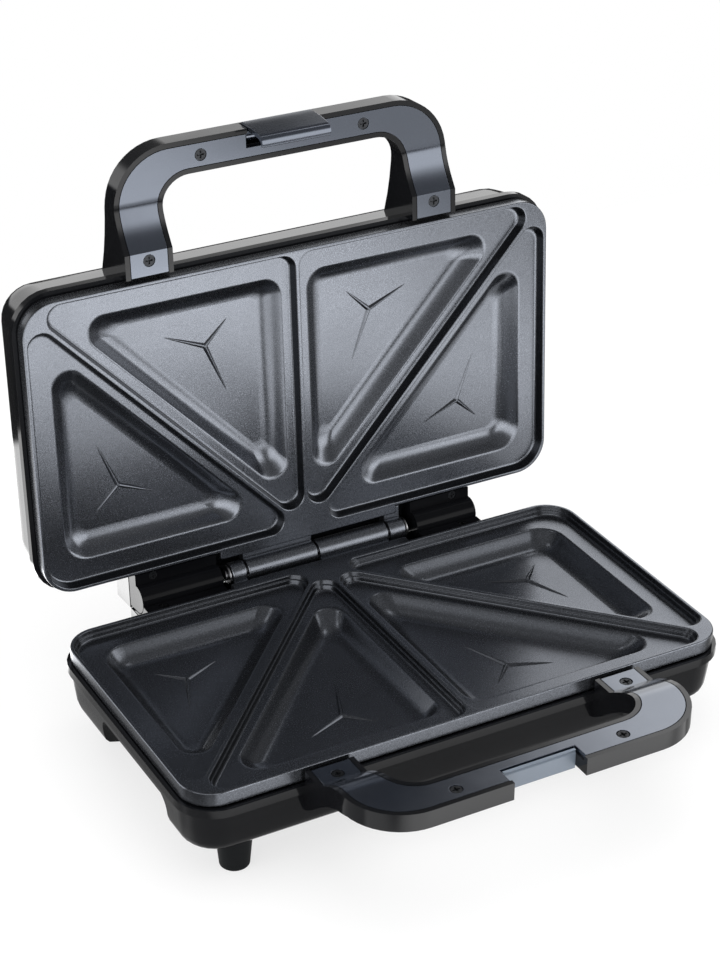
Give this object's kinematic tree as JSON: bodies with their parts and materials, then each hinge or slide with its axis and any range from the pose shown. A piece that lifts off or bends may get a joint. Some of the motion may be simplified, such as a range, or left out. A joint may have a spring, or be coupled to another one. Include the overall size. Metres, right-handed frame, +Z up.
{
  "type": "sandwich toaster",
  "caption": "Countertop sandwich toaster, opened: hinged lid and base with triangular pocket cooking plates, loop handles and a clip latch.",
  "frame": {"origin": "on the table, under the middle of the lower cooking plate, level with the undersides of the feet", "axes": "+X to the user's right, +Y from the handle towards the hinge, +Z up"},
  "size_m": [0.26, 0.2486, 0.2514],
  "materials": {
    "casing_plastic": "gloss",
    "cover_plastic": "gloss",
    "hinge_plastic": "gloss",
    "catch_plastic": "satin",
    "nonstick_plate": "satin non-stick coating over cast aluminium",
    "heater_steel": "matte",
    "sheet_steel": "satin",
    "screw_steel": "dark zinc",
    "pin_steel": "satin",
    "foot_rubber": "matte",
    "ceramic_block": "matte",
    "fuse_metal": "satin",
    "wire_sleeve": "matte",
    "power_lens": "gloss",
    "ready_lens": "gloss"
  },
  "bodies": {
    "base": {"base_casing": "casing_plastic", "base_handle_cover": "cover_plastic", "base_handle_screws": "screw_steel", "latch_catch": "catch_plastic", "lower_plate": "nonstick_plate", "lower_heater": "heater_steel", "lower_straps": "sheet_steel", "lower_strap_screws": "screw_steel", "lower_reflector": "sheet_steel", "lower_plate_screws": "screw_steel", "front_feet": "foot_rubber", "rear_feet": "foot_rubber", "hinge_pin": "pin_steel", "pin_clips": "pin_steel", "base_hinge_cover_left": "hinge_plastic", "base_hinge_cover_right": "hinge_plastic", "base_hinge_screws": "screw_steel", "cord_gland": "hinge_plastic", "terminal_block": "ceramic_block", "thermostat": "ceramic_block", "thermal_fuse": "fuse_metal", "base_wires": "wire_sleeve"},
    "lid": {"lid_casing": "casing_plastic", "lid_handle_cover": "cover_plastic", "lid_handle_screws": "screw_steel", "upper_plate": "nonstick_plate", "upper_heater": "heater_steel", "upper_straps": "sheet_steel", "upper_strap_screws": "screw_steel", "upper_reflector": "sheet_steel", "upper_plate_screws": "screw_steel", "lid_plugs": "hinge_plastic", "lid_hinge_cover_left": "hinge_plastic", "lid_hinge_cover_right": "hinge_plastic", "lid_hinge_screws": "screw_steel", "power_lens": "power_lens", "ready_lens": "ready_lens", "lamp_holders": "ceramic_block", "lid_wires": "wire_sleeve", "latch_pin": "pin_steel"},
    "latch": {"latch_clip": "cover_plastic"}
  },
  "joints": [
    {"name": "lid_hinge", "type": "hinge", "parent": "base", "child": "lid", "pos_m": [0, 0.0796, 0.0486], "axis": [1, 0, 0], "range_deg": [0, 93.4]},
    {"name": "latch_pivot", "type": "hinge", "parent": "lid", "child": "latch", "pos_m": [0, 0.10539, 0.24579], "axis": [1, 0, 0], "range_deg": [0, 9]}
  ]
}
